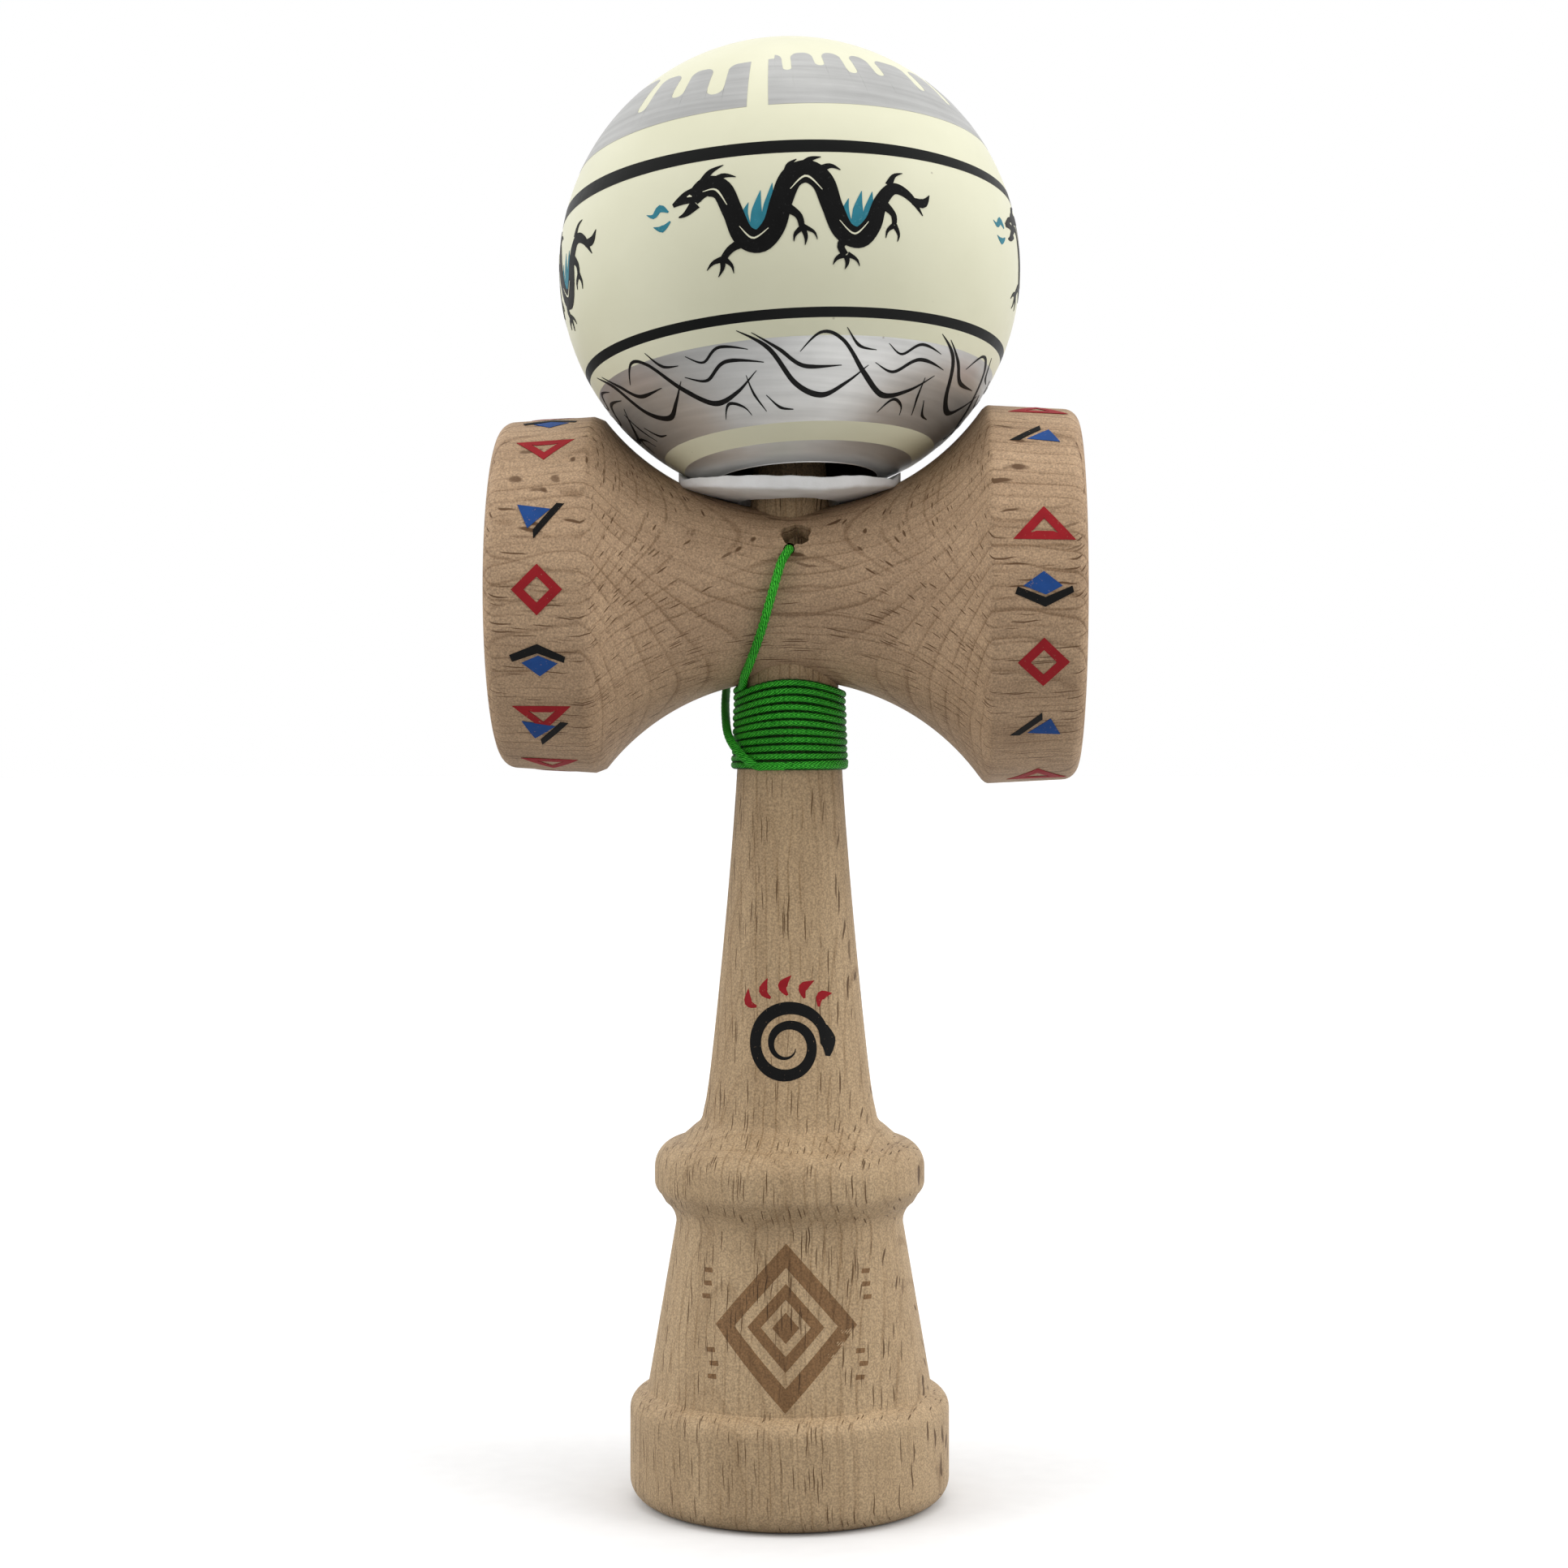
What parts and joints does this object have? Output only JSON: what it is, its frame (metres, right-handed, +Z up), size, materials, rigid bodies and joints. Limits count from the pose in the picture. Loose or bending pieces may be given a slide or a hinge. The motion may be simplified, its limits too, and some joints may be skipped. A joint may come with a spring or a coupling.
{
  "type": "kendama",
  "caption": "Turned wooden cup-and-ball toy: handle with base cup and spike, two-cup crosspiece, painted drilled ball on a string wound round the handle, standing on its base.",
  "frame": {"origin": "centre of the ring that the handle stands on, on the floor", "axes": "+Z up along the handle to the spike, +X along the crosspiece to the big cup, -Y the front with the string hole"},
  "size_m": [0.0749, 0.0614, 0.191],
  "materials": {
    "beech": "bare sanded beech, grain along the handle",
    "beech_across": "bare sanded beech, grain along the crosspiece",
    "ball_paint": "beech ball under satin cream paint with silver bands and printed marks",
    "foam": "matt white closed-cell foam",
    "string": "waxed braided polyester string"
  },
  "bodies": {
    "handle": {"ken": "beech", "sarado": "beech_across", "washer": "foam", "ken_knot": "string", "string_front": "string", "string_winding": "string", "string_back": "string"},
    "bead": {"bead": "beech", "bead_knot": "string", "string_top": "string"},
    "ball": {"tama": "ball_paint"}
  },
  "joints": [
    {"name": "ball_lift", "type": "slide", "parent": "handle", "child": "bead", "axis": [0, 0, 1], "range_m": [0, 0.05]},
    {"name": "ball_spin", "type": "hinge", "parent": "bead", "child": "ball", "pos_m": [0, 0, 0.16], "axis": [-0.0562, 0.1349, 0.9893], "continuous": true}
  ]
}
